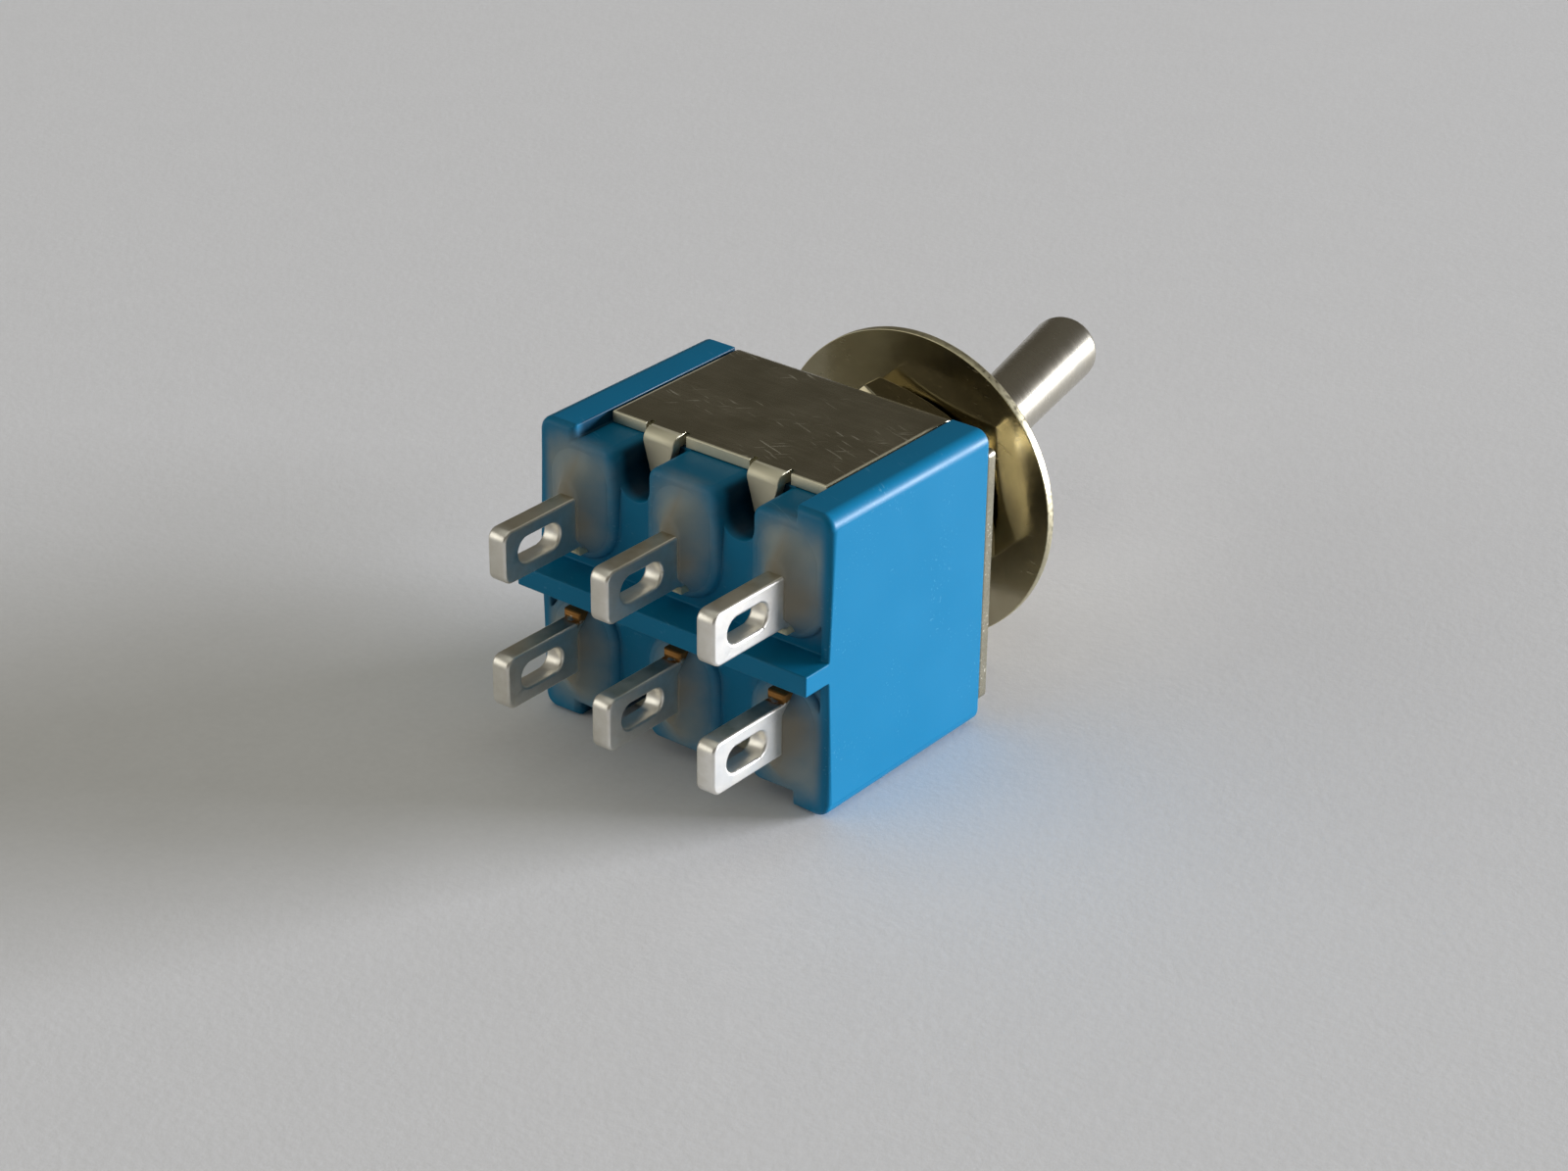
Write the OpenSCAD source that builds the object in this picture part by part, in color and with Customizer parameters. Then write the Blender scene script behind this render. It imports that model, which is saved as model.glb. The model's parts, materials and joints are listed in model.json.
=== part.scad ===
// Miniature double-pole toggle switch with six solder lugs and panel hardware on its bushing.
// Each piece is drawn upright, with the lever along +Z, the panel seat at z = 0 and the throw along X.
// The whole switch is then laid on its long side: the lever points along -Y and the lugs along +Y.

/* [Case] */
// Length of the case, along the lever's throw
case_l = 13.2; // [12.8:0.1:15]
// Width of the case over its end flanges
case_w = 11.8; // [11.4:0.1:13.5]
// Height of the moulded case, from the frame to the terminal face
case_h = 9.1; // [8.8:0.1:10.5]
// Radius of the case's four long edges
case_corner = 0.55; // [0.3:0.05:0.9]
// Length of each end flange, beside the steel plate
flange_l = 1.65; // [1.4:0.05:2]
// Thickness of the end walls round the mechanism
end_wall = 1.1; // [0.8:0.05:1.3]
// Thickness of the long walls behind the steel plates
side_wall = 1.1; // [0.7:0.05:1.4]
// Thickness of the floor that holds the terminals
floor_t = 2.6; // [2.4:0.1:3.2]
// Thickness of the barrier rib between the two rows of lugs
rib_t = 0.8; // [0.5:0.1:1]
// Height of the barrier rib above the terminal face
rib_h = 1.3; // [0.6:0.1:2.5]
// Room between the pillars of the terminal face, where the tabs grip
pillar_space = 1.4; // [1.2:0.05:1.5]
// Distance of the end pillars from the case's ends
pillar_end = 0.25; // [0.1:0.05:0.4]
// Depth of the terminal face round the pillars
groove_depth = 0.3; // [0.1:0.05:0.6]

/* [Frame] */
// Thickness of the steel sheet
frame_t = 0.45; // [0.3:0.05:0.6]
// Length of the side plates, from the panel seat to their lower edge
plate_h = 7.55; // [7:0.05:7.9]
// Depth of the side plates below the end flanges
plate_sink = 0.05; // [0:0.05:0.2]
// Width of the top plate's end tongues
tongue_w = 10.1; // [8.5:0.1:10.5]
// Outer radius of the frame's bends
bend_r = 0.65; // [0.6:0.05:0.9]
// Width of a crimp tab at its root
tab_w = 1.4; // [1:0.05:1.6]
// Width of a crimp tab at its tip
tab_tip_w = 0.7; // [0.4:0.05:1]
// Reach of a crimp tab over the case, from the plate's outer face
tab_reach = 1.7; // [1.2:0.05:2]

/* [Terminals] */
// Spacing of the two rows of terminals
row_pitch = 5; // [4.8:0.05:5.2]
// Thickness of the terminal strip
lug_t = 0.8; // [0.5:0.05:1]
// Width of a solder lug
lug_w = 2.05; // [1.8:0.05:2.3]
// Reach of the lugs beyond the terminal face
lug_out = 4.4; // [4:0.1:6]
// Radius of a lug's tip corners
lug_round = 0.4; // [0.1:0.05:0.8]
// Length of a lug's eye
eye_l = 2.15; // [1.4:0.05:2.4]
// Width of a lug's eye
eye_w = 1; // [0.6:0.05:1.2]
// Metal left between a lug's eye and its tip
eye_end = 0.75; // [0.5:0.05:1]
// Width of a terminal's root, where the seal holds it
root_w = 2.65; // [2.4:0.05:2.7]
// Reach of the root's shoulders beyond the terminal face
root_out = 0.55; // [0.4:0.05:0.8]
// Depth of the wells that hold the resin seals
seal_depth = 0.9; // [0.6:0.05:1.2]
// Plastic left round each well
seal_wall = 0.25; // [0.2:0.05:0.3]
// Rise of a seal above the terminal face
seal_rise = 0.25; // [0.1:0.05:0.4]

/* [Bushing and hardware] */
// Outside diameter of the bushing's thread
bushing_d = 6; // [5.9:0.05:6.6]
// Length of the bushing beyond the lever's pivot
mouth_h = 2.4; // [2.3:0.1:4]
// Wall of the bushing round the lever's ball
bushing_wall = 0.8; // [0.7:0.05:0.9]
// Width of the keyway along the bushing
key_w = 0.9; // [0.6:0.05:1.2]
// Depth of the keyway
key_depth = 0.45; // [0.2:0.05:0.5]
// Step from the thread down to the spigot through the frame
spigot_step = 0.3; // [0.2:0.05:0.35]
// Reach of the lip that is staked over below the frame, beyond the thread
stake_over = 0.3; // [0.1:0.05:0.6]
// Thickness of the staked lip
stake_t = 0.4; // [0.3:0.05:0.6]
// Wall of a hex nut at its flats
nut_wall = 1; // [0.8:0.05:1.4]
// Thickness of a hex nut
nut_t = 1.9; // [1.4:0.1:2]
// Turn of the rear nut about the bushing
rear_nut_turn = 46; // [0:1:59]
// Turn of the front nut about the bushing
front_nut_turn = 0; // [0:1:59]
// Outside diameter of the flat washer
washer_d = 12.4; // [11.9:0.1:14]
// Play of the flat washer round the bushing
washer_play = 0.25; // [0.2:0.05:0.4]
// Thickness of the flat washer
washer_t = 0.45; // [0.3:0.05:0.8]
// Height of the flat washer above the panel seat
washer_z = 4; // [3.9:0.1:4.2]
// Lean of the loose washer on the bushing
washer_lean = 1.8; // [0:0.1:2.2]
// Shift of the loose washer, as it hangs on the bushing
washer_shift = 0.1; // [0:0.01:0.12]

/* [Lever] */
// Height of the lever's pivot above the panel seat
pivot_h = 6.1; // [5.6:0.1:7]
// Length of the lever from its pivot to its tip
lever_l = 13.2; // [10:0.1:20]
// Throw of the lever to either side
throw = 13; // [10:0.5:13]
// Diameter of the lever's stem, as a share of its ball
stem_share = 0.58; // [0.5:0.01:0.6]
// Swell of the lever from its stem to its tip, at each side
tip_flare = 0.175; // [0:0.025:0.6]
// Rounding of the lever's tip
tip_round = 0.6; // [0.2:0.05:1]
// Length of the lever's tail below the pivot
tail_l = 5; // [4.4:0.1:5]
// Wall of the tail round the spring and the plunger
tail_wall = 0.3; // [0.25:0.05:0.35]
// End of the tail's bore, below the pivot
tail_bore_end = 1; // [0.6:0.1:1.4]

/* [Mechanism] */
// Depth of the plunger's nose below the panel seat, with the lever upright
nose_depth = 3.4; // [3.1:0.05:3.7]
// Length of the plunger's stem inside the tail
plunger_guide = 1.8; // [1.4:0.1:2.2]
// Radius of the plunger's nose
nose_r = 0.8; // [0.7:0.05:0.9]
// Length of the plunger's foot, across both poles
foot_l = 6.8; // [6.2:0.1:7.4]
// Height of the plunger's foot above the nose's centre
foot_h = 0.7; // [0.5:0.05:0.9]
// Wire of the plunger's spring
wire_d = 0.24; // [0.16:0.02:0.28]
// Turns of the plunger's spring
spring_turns = 5; // [3:1:6]
// Thickness of a rocker contact
rocker_t = 0.35; // [0.25:0.05:0.5]
// Width of a rocker contact
rocker_w = 2.2; // [2:0.05:2.4]
// Rise of a rocker's arms from its middle
rocker_rise = 14; // [13:0.5:15]
// Tilt of a rocker to either side
rocker_tilt = 8; // [7:0.5:8.5]
// Diameter of a contact rivet's head
rivet_d = 1.4; // [1:0.05:1.6]
// Diameter of a contact rivet's shank
rivet_shank_d = 0.7; // [0.5:0.05:0.9]
// Distance of the rivets from the end terminals, toward the middle
rivet_in = 0.8; // [0.7:0.05:1]

/* [Hidden] */
$fn = 48;

// Clearances: a snug seat, a turning fit, and the overlap that a cut needs to pass a face
seat_gap = 0.02;
turn_gap = 0.05;
cut = 0.5;

// Levels along the bushing axis
top_z = -frame_t;
face_z = top_z - case_h;
floor_z = face_z + floor_t;
ledge_z = -plate_h;
tip_z = face_z - lug_out;

// Half sizes across the case
end_x = case_l / 2;
recess_x = end_x - flange_l;
plate_gap = 0.1;
plate_x = recess_x - plate_gap;
plate_y = case_w / 2 - plate_sink;
recess_y = plate_y - frame_t - seat_gap;
cavity_x = end_x - end_wall;
cavity_y = recess_y - side_wall;
row_y = row_pitch / 2;

// Pillars, wells and notches of the terminal face: three pillars share the case's length
pillar_gap = 0.35;
lug_pitch = (case_l - 2 * pillar_end + pillar_space) / 3;
pillar_w = lug_pitch - pillar_space;
pillar_r = pillar_w / 2;
pillar_y = rib_t / 2 + pillar_gap + pillar_r;
well_r = pillar_r - seal_wall;
well_outer_y = recess_y - seal_wall;
notch_gap = 0.075;
notch_w = tab_w + 2 * notch_gap;
notch_reach = 2.2;
notch_flare = 0.45;
end_strip = 0.4;
flange_over = 0.125;
tab_x = lug_pitch / 2;
relief_w = 0.22;
relief_h = 0.3;
tab_round = 0.9 * frame_t;
case_chamfer = 0.3;
tongue_round = 0.25;

// Bushing and lever: the ball turns in the bore, below the neck and the open mouth
bushing_l = pivot_h + mouth_h;
bushing_chamfer = 0.3;
bore_d = bushing_d - 2 * bushing_wall;
ball_d = bore_d - 2 * turn_gap;
neck_step = 0.4;
neck_r = bore_d / 2 - neck_step;
mouth_flare = 0.35;
mouth_r = neck_r + mouth_flare;
flare_step = 0.3;
flare_r = bore_d / 2 + flare_step;
flare_z = -0.2;
spigot_d = bushing_d - 2 * spigot_step;
stake_d = bushing_d + 2 * stake_over;
seat_angle = 25;
seat_r = ball_d / 2 + turn_gap;
stem_d = stem_share * ball_d;
tip_d = stem_d + 2 * tip_flare;
tail_d = ball_d / 2 - turn_gap;
tail_bore_d = tail_d - 2 * tail_wall;

// Plunger and its spring, from the pivot
plunger_reach = pivot_h + nose_depth;
plunger_d = tail_bore_d - 2 * turn_gap;
plunger_top = -(tail_l - plunger_guide);
nose_z = -(plunger_reach - nose_r);
spring_low = plunger_top + seat_gap;
spring_high = -tail_bore_end - seat_gap;
spring_r = tail_bore_d / 2 - wire_d / 2 - turn_gap;
spring_end = 0.75;
spring_sides = 8;
spring_steps = 14;
closed_pitch = 1.08 * wire_d;

// Rocker contacts and what carries them
nose_gap = 0.18;
rocker_drop = rocker_t / cos(rocker_rise);
rocker_z = -nose_depth - nose_gap - rocker_drop;
rivet_x = lug_pitch - rivet_in;
rocker_over = 0.5;
rocker_l = rivet_x + rocker_over;
waist_w = 1.1;
waist_depth = 0.35;
ear_gap = 0.05;
ear_h = 0.6;
saddle_z = rocker_z - seat_gap;
rivet_dome_r = 1.2;
rivet_gap = 0.03;
pressed_slope = rocker_rise - rocker_tilt;
pressed_z = rocker_z + rivet_x * tan(pressed_slope);
rivet_top = pressed_z - (rivet_dome_r + rivet_gap) / cos(pressed_slope) + rivet_dome_r;
rivet_h = 0.35;
head_z = rivet_top - rivet_h;
head_t = 0.6;
head_in = 0.75;
rivet_tail = 0.15;
rivet_tail_d = 0.75 * rivet_d;
wall_drop = 0.8;
wall_top = -nose_depth - wall_drop;

// Hardware on the bushing
nut_af = bushing_d + 2 * nut_wall;
nut_bore = bushing_d + 2 * seat_gap;
nut_face_r = 0.475 * nut_af;
nut_chamfer = 30;
half_side = 30;
washer_hole_d = bushing_d + 2 * washer_play;
washer_slack = nut_face_r * sin(washer_lean) + seat_gap;

blue = [0.12, 0.45, 0.68];
steel = [0.45, 0.44, 0.4];
nickel = [0.78, 0.77, 0.74];
tinned = [0.8, 0.78, 0.7];
brass = [0.75, 0.6, 0.3];
silver = [0.9, 0.9, 0.9];
resin = [0.5, 0.53, 0.55];
nylon = [0.93, 0.92, 0.88];
spring_steel = [0.6, 0.6, 0.62];

// Lay the upright switch on its long side
module lay() {
    rotate([90, 0, 0]) children();
}

// Tilt about the lever's pivot, at its rest position
module thrown() {
    translate([0, 0, pivot_h]) rotate([0, throw, 0]) children();
}

// Extrude a profile drawn in width and height along the throw, centred
module along_x(l) {
    translate([-l / 2, 0, 0]) rotate([90, 0, 90]) linear_extrude(l) children();
}

// Extrude a profile drawn in throw and height across the width, centred
module along_y(l) {
    translate([0, l / 2, 0]) rotate([90, 0, 0]) linear_extrude(l) children();
}

// Rectangle with round corners, centred
module rounded_rect(l, w, r) {
    square([l - 2 * r, w], center = true);
    square([l, w - 2 * r], center = true);
    for (x = [-1, 1], y = [-1, 1]) {
        translate([x * (l / 2 - r), y * (w / 2 - r)]) circle(r);
    }
}

// Slot with round ends, centred, along Y
module slot(l, w) {
    square([w, l - w], center = true);
    for (y = [-1, 1]) {
        translate([0, y * (l - w) / 2]) circle(w / 2);
    }
}

// Outline of a pillar or a well: round toward the barrier, straight toward the plate
module u_outline(r, outer_y) {
    translate([0, pillar_y]) circle(r);
    translate([-r, pillar_y]) square([2 * r, outer_y - pillar_y]);
}

// Outline of a tab notch: round inside, flared where it meets the plate
module notch_outline() {
    inner_y = plate_y - notch_reach + notch_w / 2;
    translate([0, inner_y]) circle(notch_w / 2);
    translate([-notch_w / 2, inner_y]) square([notch_w, recess_y - inner_y + cut]);
    difference() {
        translate([-notch_w / 2 - notch_flare, recess_y - notch_flare])
            square([notch_w + 2 * notch_flare, notch_flare + cut]);
        for (x = [-1, 1]) {
            translate([x * (notch_w / 2 + notch_flare), recess_y - notch_flare]) circle(notch_flare);
        }
    }
}

// Room for a side plate, with the case's edge eased under the frame's bend
module plate_recess() {
    along_x(2 * recess_x) polygon([
        [recess_y, face_z - rib_h - cut],
        [recess_y, top_z - case_chamfer],
        [recess_y - case_chamfer, top_z],
        [recess_y - case_chamfer - cut, top_z + cut],
        [case_w / 2 + cut, top_z + cut],
        [case_w / 2 + cut, face_z - rib_h - cut]]);
}

// Ground of the terminal face round the pillars of one row
module face_groove() {
    translate([0, 0, face_z - cut]) linear_extrude(groove_depth + cut) difference() {
        translate([-end_x + end_strip, rib_t / 2])
            square([2 * (end_x - end_strip), case_w / 2 - rib_t / 2 + cut]);
        for (k = [-1, 0, 1]) {
            translate([k * lug_pitch, 0]) u_outline(pillar_r, case_w / 2 + 2 * cut);
        }
        for (x = [-1, 1]) {
            translate([x * (end_x - flange_l / 2), pillar_y + (case_w - pillar_y) / 2])
                square([flange_l + flange_over, case_w - pillar_y], center = true);
        }
    }
}

module case() {
    color(blue) lay() difference() {
        union() {
            translate([0, 0, face_z]) linear_extrude(case_h) rounded_rect(case_l, case_w, case_corner);
            translate([-end_x, -rib_t / 2, face_z - rib_h]) cube([case_l, rib_t, rib_h + cut]);
        }
        for (side = [0, 1]) mirror([0, side, 0]) {
            plate_recess();
            face_groove();
            for (k = [-1, 0, 1]) translate([k * lug_pitch, 0, 0]) {
                translate([0, 0, face_z - cut]) linear_extrude(seal_depth + cut)
                    u_outline(well_r, well_outer_y);
                translate([-lug_t / 2 - seat_gap, row_y - root_w / 2 - seat_gap, face_z - cut])
                    cube([lug_t + 2 * seat_gap, root_w + 2 * seat_gap, floor_t + 2 * cut]);
            }
            for (x = [-1, 1]) {
                translate([x * tab_x, 0, face_z - cut])
                    linear_extrude(ledge_z - face_z + cut) notch_outline();
            }
            translate([-cavity_x, rib_t / 2, floor_z])
                cube([2 * cavity_x, cavity_y - rib_t / 2, top_z - floor_z + cut]);
        }
        translate([-cavity_x, -cavity_y, wall_top])
            cube([2 * cavity_x, 2 * cavity_y, top_z - wall_top + cut]);
    }
}

// Section of the frame across the width: a top plate bent down into two side plates
module frame_section() {
    difference() {
        union() {
            translate([-plate_y, -plate_h]) square([2 * plate_y, plate_h - bend_r]);
            translate([-plate_y + bend_r, -plate_h]) square([2 * (plate_y - bend_r), plate_h]);
            for (y = [-1, 1]) translate([y * (plate_y - bend_r), -bend_r]) circle(bend_r);
        }
        union() {
            inner_y = plate_y - frame_t;
            inner_r = bend_r - frame_t;
            translate([-inner_y, -plate_h - cut]) square([2 * inner_y, plate_h + cut - bend_r]);
            translate([-inner_y + inner_r, -plate_h - cut])
                square([2 * (inner_y - inner_r), plate_h + cut - frame_t]);
            for (y = [-1, 1]) translate([y * (inner_y - inner_r), -bend_r]) circle(inner_r);
        }
    }
}

// One crimp tab, bent in under the case's ledge and tapered to its tip
module crimp_tab() {
    intersection() {
        along_x(tab_w) union() {
            translate([plate_y - tab_reach, ledge_z - frame_t]) square([tab_reach - tab_round, frame_t]);
            intersection() {
                translate([plate_y - tab_round, ledge_z - frame_t + tab_round]) circle(tab_round);
                translate([plate_y - tab_round, ledge_z - frame_t]) square(tab_round);
            }
            translate([plate_y - frame_t, ledge_z - frame_t + tab_round])
                square([frame_t, frame_t - tab_round + cut]);
        }
        translate([0, 0, ledge_z - 2 * frame_t]) linear_extrude(2 * frame_t + 2 * cut) polygon([
            [-tab_tip_w / 2, plate_y - tab_reach],
            [tab_tip_w / 2, plate_y - tab_reach],
            [tab_w / 2, plate_y - frame_t],
            [tab_w / 2, plate_y + cut],
            [-tab_w / 2, plate_y + cut],
            [-tab_w / 2, plate_y - frame_t]]);
    }
}

module frame() {
    color(steel) lay() difference() {
        union() {
            along_x(2 * plate_x) frame_section();
            translate([0, 0, top_z]) linear_extrude(frame_t) rounded_rect(case_l, tongue_w, tongue_round);
            for (side = [0, 1], x = [-1, 1]) mirror([0, side, 0]) translate([x * tab_x, 0, 0]) crimp_tab();
        }
        translate([0, 0, top_z - cut]) cylinder(d = spigot_d + 2 * seat_gap, h = frame_t + 2 * cut);
        for (side = [0, 1], x = [-1, 1], e = [-1, 1]) mirror([0, side, 0]) {
            relief_x = x * tab_x + e * (tab_w + relief_w) / 2;
            translate([relief_x - relief_w / 2, plate_y - frame_t - cut, ledge_z - cut])
                cube([relief_w, frame_t + 2 * cut, relief_h + cut]);
        }
    }
}

module bushing() {
    stake_z = top_z - stake_t;
    bore_r = bore_d / 2;
    seat_low = (seat_r - bore_r * cos(seat_angle)) / sin(seat_angle);
    seat_high = (seat_r - neck_r * cos(seat_angle)) / sin(seat_angle);
    color(nickel) lay() difference() {
        rotate_extrude() polygon([
            [flare_r, stake_z],
            [stake_d / 2, stake_z],
            [stake_d / 2, top_z],
            [spigot_d / 2, top_z],
            [spigot_d / 2, 0],
            [bushing_d / 2, 0],
            [bushing_d / 2, bushing_l - bushing_chamfer],
            [bushing_d / 2 - bushing_chamfer, bushing_l],
            [mouth_r, bushing_l],
            [neck_r, pivot_h + seat_high],
            [bore_r, pivot_h + seat_low],
            [bore_r, flare_z]]);
        translate([-key_w / 2, -bushing_d / 2 - cut, 0])
            cube([key_w, key_depth + cut, bushing_l + cut]);
    }
}

module lever() {
    color(nickel) lay() thrown() difference() {
        union() {
            sphere(d = ball_d);
            translate([0, 0, -tail_l]) cylinder(d = tail_d, h = tail_l);
            rotate_extrude() {
                polygon([
                    [0, 0],
                    [stem_d / 2, 0],
                    [tip_d / 2, lever_l - tip_round],
                    [tip_d / 2 - tip_round, lever_l],
                    [0, lever_l]]);
                intersection() {
                    translate([tip_d / 2 - tip_round, lever_l - tip_round]) circle(tip_round);
                    square([tip_d, lever_l]);
                }
            }
        }
        translate([0, 0, -tail_l - cut]) cylinder(d = tail_bore_d, h = tail_l + cut - tail_bore_end);
    }
}

module plunger() {
    color(nylon) lay() thrown() {
        translate([0, 0, nose_z]) cylinder(d = plunger_d, h = plunger_top - nose_z);
        along_y(foot_l) {
            translate([0, nose_z]) circle(nose_r);
            translate([-nose_r, nose_z]) square([2 * nose_r, foot_h]);
        }
    }
}

// Height along the spring: the turns lie close at both ends and open between
function spring_rise(u) =
    let (turns = spring_turns + 2 * spring_end, t = u * turns,
        room = spring_high - spring_low - wire_d,
        open_pitch = (room - 2 * spring_end * closed_pitch) / spring_turns)
    min(t, spring_end) * closed_pitch
        + min(max(t - spring_end, 0), spring_turns) * open_pitch
        + max(t - spring_end - spring_turns, 0) * closed_pitch;

module plunger_spring() {
    turns = spring_turns + 2 * spring_end;
    rings = ceil(turns * spring_steps);
    points = [for (i = [0 : rings], k = [0 : spring_sides - 1])
        let (u = i / rings, a = 360 * turns * u, b = 360 * k / spring_sides,
            r = spring_r + wire_d / 2 * cos(b), z = spring_low + wire_d / 2 + spring_rise(u))
        [r * cos(a), r * sin(a), z + wire_d / 2 * sin(b)]];
    sides = [for (i = [0 : rings - 1], k = [0 : spring_sides - 1])
        let (n = (k + 1) % spring_sides, a = i * spring_sides, b = a + spring_sides)
        [a + k, b + k, b + n, a + n]];
    first = [for (k = [0 : spring_sides - 1]) k];
    last = [for (k = [spring_sides - 1 : -1 : 0]) rings * spring_sides + k];
    color(spring_steel) lay() thrown() polyhedron(points, concat([first], sides, [last]));
}

// A moving contact: two arms that rise from a narrow middle, with the end toward -X pressed down
module rocker(side) {
    rise = rocker_l * tan(rocker_rise);
    color(brass) lay() translate([0, side * row_y, rocker_z]) rotate([0, -rocker_tilt, 0]) difference() {
        along_y(rocker_w) polygon([
            [0, 0],
            [rocker_l, rise],
            [rocker_l, rise + rocker_drop],
            [0, rocker_drop],
            [-rocker_l, rise + rocker_drop],
            [-rocker_l, rise]]);
        for (edge = [0, 1]) mirror([0, edge, 0]) {
            translate([-waist_w / 2, rocker_w / 2 - waist_depth, -cut])
                cube([waist_w, waist_depth + cut, rise + 2 * cut]);
        }
    }
}

// Outline of a terminal below the floor, in width and height: wide root, lug with round corners, eye
module lug_outline(top) {
    difference() {
        union() {
            translate([-lug_w / 2, tip_z + lug_round]) square([lug_w, face_z - tip_z - lug_round]);
            translate([-lug_w / 2 + lug_round, tip_z]) square([lug_w - 2 * lug_round, lug_round * 2]);
            for (y = [-1, 1]) translate([y * (lug_w / 2 - lug_round), tip_z + lug_round]) circle(lug_round);
            translate([-root_w / 2, face_z - root_out]) square([root_w, floor_t + root_out]);
            translate([-lug_w / 2, floor_z - cut]) square([lug_w, top - floor_z + cut]);
        }
        translate([0, tip_z + eye_end + eye_l / 2]) slot(eye_l, eye_w);
    }
}

// An end terminal, whose inner end is bent toward the middle and carries a contact rivet
module end_terminal(side, k) {
    reach = rivet_in + head_in;
    color(tinned) lay() translate([k * lug_pitch, side * row_y, 0]) difference() {
        union() {
            along_x(lug_t) lug_outline(head_z);
            translate([k > 0 ? -reach : -lug_t / 2, -lug_w / 2, head_z - head_t])
                cube([reach + lug_t / 2, lug_w, head_t]);
        }
        translate([-k * rivet_in, 0, head_z - head_t - cut])
            cylinder(d = rivet_shank_d + 2 * seat_gap, h = head_t + 2 * cut);
    }
}

// A middle terminal, whose inner end is a saddle with two ears for the rocker's narrow middle
module mid_terminal(side) {
    saddle_w = rocker_w - 2 * waist_depth + 2 * ear_gap;
    color(tinned) lay() translate([0, side * row_y, 0]) difference() {
        along_x(lug_t) lug_outline(saddle_z + ear_h);
        translate([-lug_t / 2 - cut, -saddle_w / 2, saddle_z])
            cube([lug_t + 2 * cut, saddle_w, ear_h + cut]);
    }
}

// A contact rivet: a domed head on the terminal, a shank through it and a spread tail
module contact(side, k) {
    color(silver) lay() translate([k * rivet_x, side * row_y, 0]) {
        intersection() {
            translate([0, 0, head_z]) cylinder(d = rivet_d, h = rivet_h + cut);
            translate([0, 0, rivet_top - rivet_dome_r]) sphere(r = rivet_dome_r);
        }
        translate([0, 0, head_z - head_t - rivet_tail])
            cylinder(d = rivet_shank_d, h = head_t + rivet_tail + rivet_h / 2);
        translate([0, 0, head_z - head_t - rivet_tail]) cylinder(d = rivet_tail_d, h = rivet_tail);
    }
}

// A resin seal: it fills its well round the terminal's root and stands out as a low vault
module seal(side, k) {
    r = well_r - seat_gap;
    vault_r = (r * r + seal_rise * seal_rise) / (2 * seal_rise);
    color(resin) lay() mirror([0, side > 0 ? 0 : 1, 0]) translate([k * lug_pitch, 0, 0]) difference() {
        intersection() {
            translate([0, 0, face_z - seal_rise]) linear_extrude(seal_depth + seal_rise - seat_gap)
                u_outline(r, well_outer_y - seat_gap);
            translate([0, 0, face_z - seal_rise + vault_r])
                along_y(2 * case_w) circle(vault_r, $fn = 96);
        }
        translate([-lug_t / 2 - seat_gap, row_y - root_w / 2 - seat_gap, face_z - seal_rise - cut])
            cube([lug_t + 2 * seat_gap, root_w + 2 * seat_gap, seal_depth + seal_rise + 2 * cut]);
    }
}

// A hex nut with eased corners, from the given height up, turned from a flat toward +X
module hex_nut(z, turn) {
    corner_r = nut_af / 2 / cos(half_side);
    eased = (corner_r - nut_face_r) * tan(nut_chamfer);
    color(nickel) lay() translate([0, 0, z]) rotate([0, 0, turn]) difference() {
        intersection() {
            rotate([0, 0, half_side]) cylinder(r = corner_r, h = nut_t, $fn = 6);
            rotate_extrude() polygon([
                [0, 0],
                [nut_face_r, 0],
                [corner_r, eased],
                [corner_r, nut_t - eased],
                [nut_face_r, nut_t],
                [0, nut_t]]);
        }
        translate([0, 0, -cut]) cylinder(d = nut_bore, h = nut_t + 2 * cut);
    }
}

module rear_nut() {
    hex_nut(washer_z - washer_slack - nut_t, rear_nut_turn);
}

module front_nut() {
    hex_nut(washer_z + washer_t + washer_slack, front_nut_turn);
}

module flat_washer() {
    mid_z = washer_z + washer_t / 2;
    color(nickel) lay() translate([0, washer_shift, mid_z]) rotate([0, washer_lean, 0]) difference() {
        cylinder(d = washer_d, h = washer_t, center = true, $fn = 96);
        cylinder(d = washer_hole_d, h = washer_t + 2 * cut, center = true);
    }
}

case();
frame();
bushing();
lever();
plunger();
plunger_spring();
rocker(1);  // rocker_upper
rocker(-1);  // rocker_lower
end_terminal(1, 1);  // terminal_upper_left
mid_terminal(1);  // terminal_upper_mid
end_terminal(1, -1);  // terminal_upper_right
end_terminal(-1, 1);  // terminal_lower_left
mid_terminal(-1);  // terminal_lower_mid
end_terminal(-1, -1);  // terminal_lower_right
contact(1, 1);  // contact_upper_left
contact(1, -1);  // contact_upper_right
contact(-1, 1);  // contact_lower_left
contact(-1, -1);  // contact_lower_right
seal(1, 1);  // seal_upper_left
seal(1, 0);  // seal_upper_mid
seal(1, -1);  // seal_upper_right
seal(-1, 1);  // seal_lower_left
seal(-1, 0);  // seal_lower_mid
seal(-1, -1);  // seal_lower_right
rear_nut();
flat_washer();
front_nut();
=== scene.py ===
import bmesh
import bpy
import json
import math
from mathutils import Matrix, Vector

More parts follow.
